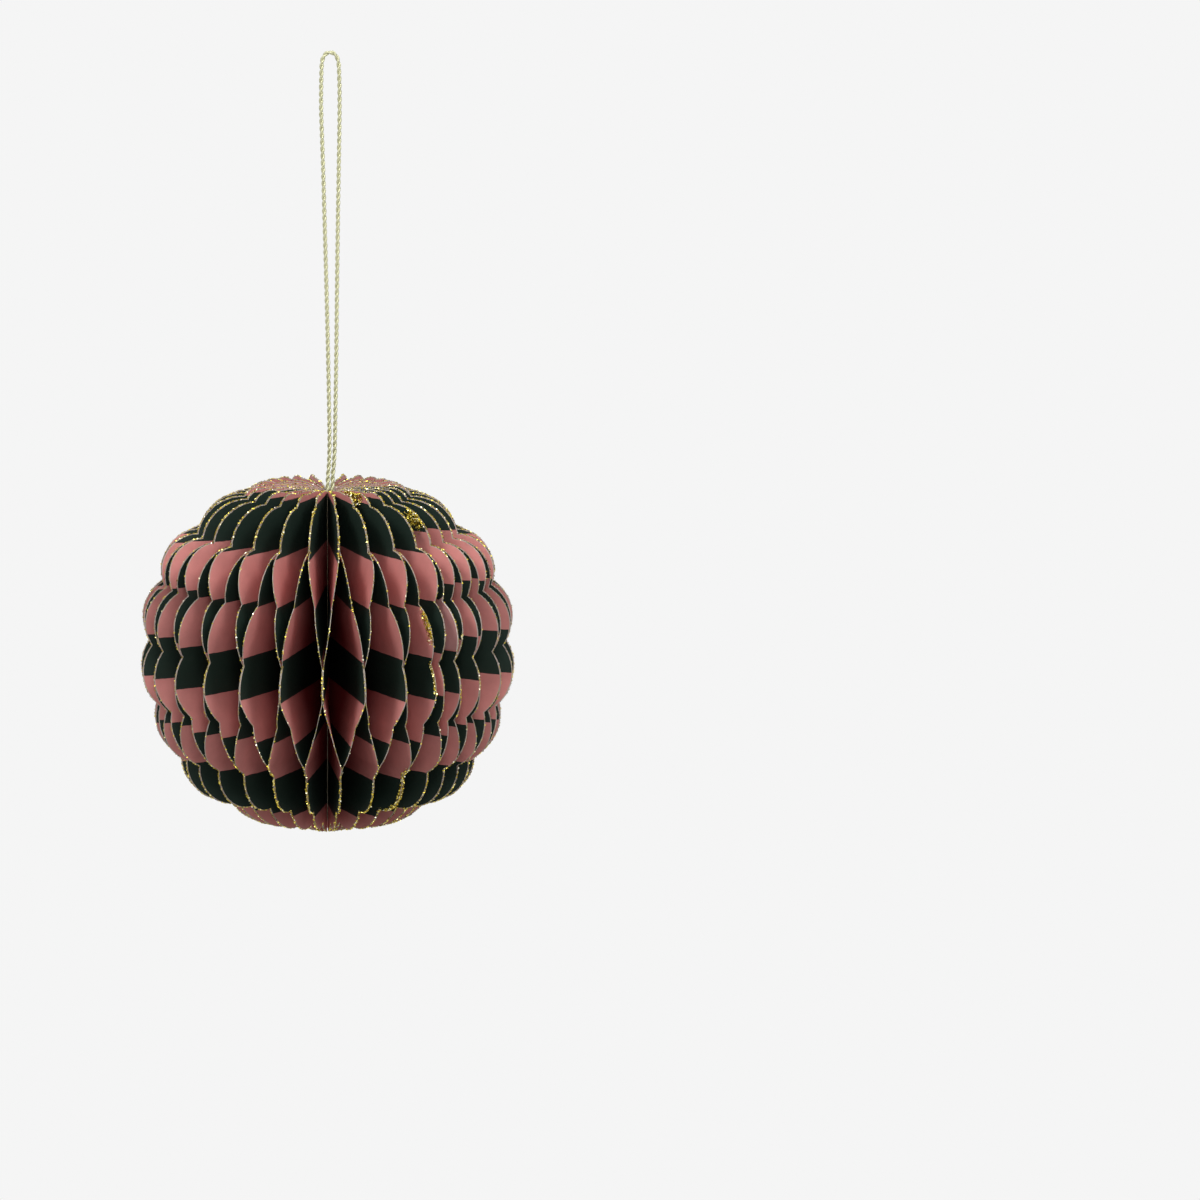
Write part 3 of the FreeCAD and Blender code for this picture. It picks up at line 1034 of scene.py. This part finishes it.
@dataclass
class HangingCord:
    """Two-ply cord, doubled into a loop that goes from the knot up and back."""

    diameter: float = 1.2
    ply_diameter: float = 0.66
    twist_pitch: float = 3.7
    turns_sampled: int = 14        # rings of each ply in one turn of the twist
    ring: int = 10
    curve_steps: int = 24
    route: tuple[tuple[float, float, float], ...] = (
        (-0.13, 0.00, -127.0),
        (-0.13, 0.00, -114.5),
        (0.50, 0.05, -108.5),
        (0.42, 0.12, -97.3),
        (0.08, 0.30, -80.0),
        (-0.35, 0.30, -62.0),
        (-0.85, 0.10, -44.0),
        (-1.28, -0.15, -28.0),
        (-1.78, -0.20, -15.5),
        (-1.75, -0.10, -7.0),
        (-1.50, 0.00, 0.575),
        (2.75, 0.00, 0.575),
        (3.12, 0.10, -7.0),
        (3.15, 0.30, -16.0),
        (2.95, 0.35, -28.5),
        (2.68, 0.20, -45.0),
        (2.45, 0.00, -63.0),
        (2.28, -0.15, -81.0),
        (2.00, -0.10, -98.0),
        (1.82, -0.05, -108.5),
        (1.12, 0.00, -114.5),
        (1.12, 0.00, -127.0),
    )

    def centreline(self) -> np.ndarray:
        """Points of the route's smooth line, in metres."""
        curve = bpy.data.curves.new("cord_route", "CURVE")
        curve.dimensions = "3D"
        spline = curve.splines.new("NURBS")
        spline.points.add(len(self.route) - 1)
        for point, place in zip(spline.points, self.route):
            point.co = (*(value * MM for value in place), 1.0)
        spline.order_u = 3
        spline.use_endpoint_u = True
        spline.resolution_u = self.curve_steps
        holder = bpy.data.objects.new("cord_route", curve)
        bpy.context.scene.collection.objects.link(holder)
        line = bpy.data.meshes.new_from_object(holder)
        points = np.array([vertex.co[:] for vertex in line.vertices])
        bpy.data.objects.remove(holder)
        bpy.data.meshes.remove(line)
        return points

    def even(self, points: np.ndarray, step: float) -> tuple[np.ndarray, np.ndarray]:
        """Points a step apart along a line, with each one's distance along it."""
        lengths = np.linalg.norm(np.diff(points, axis=0), axis=1)
        travelled = np.concatenate([[0], np.cumsum(lengths)])
        count = int(round(travelled[-1] / step))
        places = np.linspace(0, travelled[-1], count + 1)
        spread = [np.interp(places, travelled, points[:, axis]) for axis in range(3)]
        return np.column_stack(spread), places

    def frames(self, points: np.ndarray) -> tuple[np.ndarray, np.ndarray]:
        """Two directions across the line at each point, carried along without a twist."""
        tangents = np.gradient(points, axis=0)
        tangents /= np.linalg.norm(tangents, axis=1)[:, None]
        normals = np.zeros_like(points)
        normal = np.array([1.0, 0.0, 0.0])
        for place, tangent in enumerate(tangents):
            normal = normal - tangent * (normal @ tangent)
            normal /= np.linalg.norm(normal)
            normals[place] = normal
        return normals, np.cross(tangents, normals)

    def ply(
        self, points: np.ndarray, places: np.ndarray, phase: float
    ) -> tuple[np.ndarray, np.ndarray]:
        """Rings of one ply that winds round the line.

        Args:
            points: Evenly spaced points of the line.
            places: Distance of each point along the line.
            phase: Angle at which the ply starts, in radians.

        Returns:
            Ring corners in metres, and each one's map place: millimetres along, share round.
        """
        normals, binormals = self.frames(points)
        angle = places / (self.twist_pitch * MM) * math.tau + phase
        reach = (self.diameter - self.ply_diameter) / 2 * MM
        out = np.cos(angle)[:, None] * normals + np.sin(angle)[:, None] * binormals
        centres = points + out * reach
        across, up = self.frames(centres)
        turn = np.arange(self.ring) / self.ring * math.tau
        radius = self.ply_diameter / 2 * MM
        rings = (centres[:, None]
                 + np.cos(turn)[None, :, None] * across[:, None] * radius
                 + np.sin(turn)[None, :, None] * up[:, None] * radius)
        share = np.broadcast_to(np.arange(self.ring) / self.ring, (len(points), self.ring))
        along = np.broadcast_to(places[:, None] / MM, share.shape)
        return rings.reshape(-1, 3), np.stack([along, share], axis=2).reshape(-1, 2)

    def ply_faces(self, count: int, first: int) -> list[list[int]]:
        """Faces of one ply of this many rings, closed at both ends."""
        faces = []
        for row in range(count - 1):
            for place in range(self.ring):
                after = (place + 1) % self.ring
                low, high = first + row * self.ring, first + (row + 1) * self.ring
                faces.append([low + place, low + after, high + after, high + place])
        last = first + (count - 1) * self.ring
        faces.append([first + place for place in reversed(range(self.ring))])
        faces.append([last + place for place in range(self.ring)])
        return faces

    def build(self) -> None:
        step = self.twist_pitch * MM / self.turns_sampled
        points, places = self.even(self.centreline(), step)
        corners, maps, faces = [], [], []
        for phase in (0.0, math.pi):
            rings, ring_maps = self.ply(points, places, phase)
            faces += self.ply_faces(len(points), sum(map(len, corners)))
            corners.append(rings)
            maps.append(ring_maps)
        piece = mesh_piece("twisted_cord_loop", np.vstack(corners), faces)
        layer = piece.data.uv_layers.new(name="ply")
        index = np.zeros(len(piece.data.loops), dtype=int)
        piece.data.loops.foreach_get("vertex_index", index)
        uv = np.vstack(maps)[index]
        starts = np.zeros(len(piece.data.polygons), dtype=int)
        piece.data.polygons.foreach_get("loop_start", starts)
        for start in starts:
            corner_set = uv[start:start + 4, 1]
            corner_set[(corner_set == 0) & (corner_set.max() > 0.5)] = 1.0
        layer.data.foreach_set("uv", uv.ravel())
        piece.data.materials.append(MetallicYarn().material())
        make_active(piece)
        bpy.ops.object.shade_smooth()
        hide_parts("hanging_cord")
        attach(piece, BODY)
        report(piece)


@dataclass
class Core:
    """What is seen of the glued core: the glue rod, its collar and the knot."""

    glue_nodes: tuple[str, ...] = ("core_rod", "core_collar")
    knot_node: str = "cord_knot"

    def build(self) -> None:
        """Dress the core's solids, which keep their shapes."""
        glue = SetGlue().material()
        for name in self.glue_nodes:
            self.dress(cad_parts[name], glue)
        self.dress(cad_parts[self.knot_node], KnottedYarn().material())

    def dress(self, node: bpy.types.Object, finish: bpy.types.Material) -> None:
        """Give a solid one finish all over."""
        for slot in node.material_slots:
            slot.material = finish


@dataclass(frozen=True)
class SoftLamp:
    """Soft square lamp that faces the ball."""

    name: str
    place: tuple[float, float, float]      # in metres from the ball's middle
    size: float                            # side of the square, in metres
    power: float                           # in watts

    def hang(self) -> None:
        """Add the lamp to the scene."""
        data = bpy.data.lights.new(self.name, "AREA")
        data.size = self.size
        data.energy = self.power
        lamp = bpy.data.objects.new(self.name, data)
        bpy.context.scene.collection.objects.link(lamp)
        lamp.location = Vector(self.place) + Vector((0, 0, BALL_HEIGHT * MM))
        lamp.rotation_mode = "QUATERNION"
        lamp.rotation_quaternion = (-Vector(self.place)).to_track_quat("-Z", "Y")


@dataclass
class Studio:
    """Camera at the photograph's angle, soft lamps, pale floor and pale surroundings."""

    elevation: float = 9.5
    distance: float = 7000.0
    frame_width: float = 319.1     # width of the picture at the ball
    ball_left: float = 72.4        # ball's axis, left of the picture's middle
    ball_below: float = 10.7       # equator notches, below the picture's middle
    sensor: float = 36.0
    pale: str = "#F5F5F5"
    floor_drop: float = 6500.0     # floor below the ball, so low views aren't blocked
    floor_size: float = 24000.0
    surround: float = 0.22         # strength of the surroundings' light on the object
    lamps: tuple[SoftLamp, ...] = (
        SoftLamp("left_lamp", (-1.4, -1.15, 1.6), 0.8, 24.0),
        SoftLamp("right_lamp", (1.35, -1.05, 1.8), 0.8, 23.0),
        SoftLamp("front_lamp", (0.1, -2.0, 1.4), 0.6, 11.0),
        SoftLamp("low_lamp", (0.2, -1.5, -1.5), 0.8, 8.0),
        SoftLamp("top_lamp", (0.0, -0.5, 1.9), 1.2, 8.0),
    )

    def camera(self) -> None:
        """Place the camera in front of the ball and turn it to the photograph's framing."""
        data = bpy.data.cameras.new("camera")
        data.sensor_width = self.sensor
        data.lens = self.sensor * self.distance / self.frame_width
        data.clip_start = 0.05
        data.clip_end = 100.0
        camera = bpy.data.objects.new("camera", data)
        bpy.context.scene.collection.objects.link(camera)
        tilt = math.radians(self.elevation)
        back = Vector((0, -math.cos(tilt), math.sin(tilt)))
        spot = Vector((0, 0, BALL_HEIGHT)) + back * self.distance
        pan = Matrix.Rotation(-math.atan(self.ball_left / self.distance), 4, "Y")
        lift = Matrix.Rotation(math.atan(self.ball_below / self.distance), 4, "X")
        level = Matrix.Rotation(math.pi / 2 - tilt, 4, "X")
        camera.matrix_world = Matrix.Translation(spot * MM) @ level @ pan @ lift
        bpy.context.scene.camera = camera

    def seen_pale(
        self, tree: bpy.types.NodeTree, lit: bpy.types.NodeSocket, pale: bpy.types.NodeSocket
    ) -> bpy.types.NodeSocket:
        """Mix two shaders so that camera, glossy and transmission rays see the pale one.

        Args:
            tree: Node tree of the floor or the world.
            lit: Shader that other rays meet.
            pale: Shader that shows the background's colour.

        Returns:
            Output socket of the mix.
        """
        ray = add_node(tree, "ShaderNodeLightPath").outputs
        seen = ray["Is Camera Ray"]
        for name in ("Is Glossy Ray", "Is Transmission Ray"):
            seen = calculate(tree, "MAXIMUM", seen, ray[name])
        mix = add_node(tree, "ShaderNodeMixShader", inputs={0: seen, 1: lit, 2: pale})
        return mix.outputs[0]

    def floor(self) -> None:
        """Add the plain pale floor, far below the hanging ball."""
        deselect()
        bpy.ops.mesh.primitive_plane_add(
            size=self.floor_size * MM, location=(0, 0, (BALL_HEIGHT - self.floor_drop) * MM))
        floor = bpy.context.active_object
        floor.name = "studio_floor"
        material, tree = new_material("pale_floor_paint")
        matt = add_node(tree, "ShaderNodeBsdfDiffuse", inputs={"Color": linear(self.pale)})
        pale = add_node(tree, "ShaderNodeEmission", inputs={
            "Color": linear(self.pale), "Strength": 1.0})
        seen = self.seen_pale(tree, matt.outputs[0], pale.outputs[0])
        add_node(tree, "ShaderNodeOutputMaterial", inputs={"Surface": seen})
        floor.data.materials.append(material)

    def surroundings(self) -> None:
        """Set the world: soft light on the object, and the pale background behind it."""
        world = bpy.data.worlds.new("studio_world")
        world.use_nodes = True
        tree = world.node_tree
        tree.nodes.clear()
        soft = add_node(tree, "ShaderNodeBackground", inputs={
            "Color": linear("#FFFFFF"), "Strength": self.surround})
        pale = add_node(tree, "ShaderNodeBackground", inputs={
            "Color": linear(self.pale), "Strength": 1.0})
        seen = self.seen_pale(tree, soft.outputs[0], pale.outputs[0])
        add_node(tree, "ShaderNodeOutputWorld", inputs={"Surface": seen})
        bpy.context.scene.world = world

    def build(self) -> None:
        """Set up the whole studio."""
        bpy.context.scene.view_settings.view_transform = "Standard"
        self.camera()
        self.floor()
        self.surroundings()
        for lamp in self.lamps:
            lamp.hang()


def main() -> None:
    """Build the studio and every piece in order."""
    logging.basicConfig(level=logging.INFO, format="%(message)s")
    Studio().build()
    HangingCord().build()
    sheets = FoldedSheets()
    plans = sheets.build()
    SeamTab(sheets, plans[0]).build()
    Glitter(sheets, plans).build()
    Core().build()


if __name__ == "__main__":
    main()
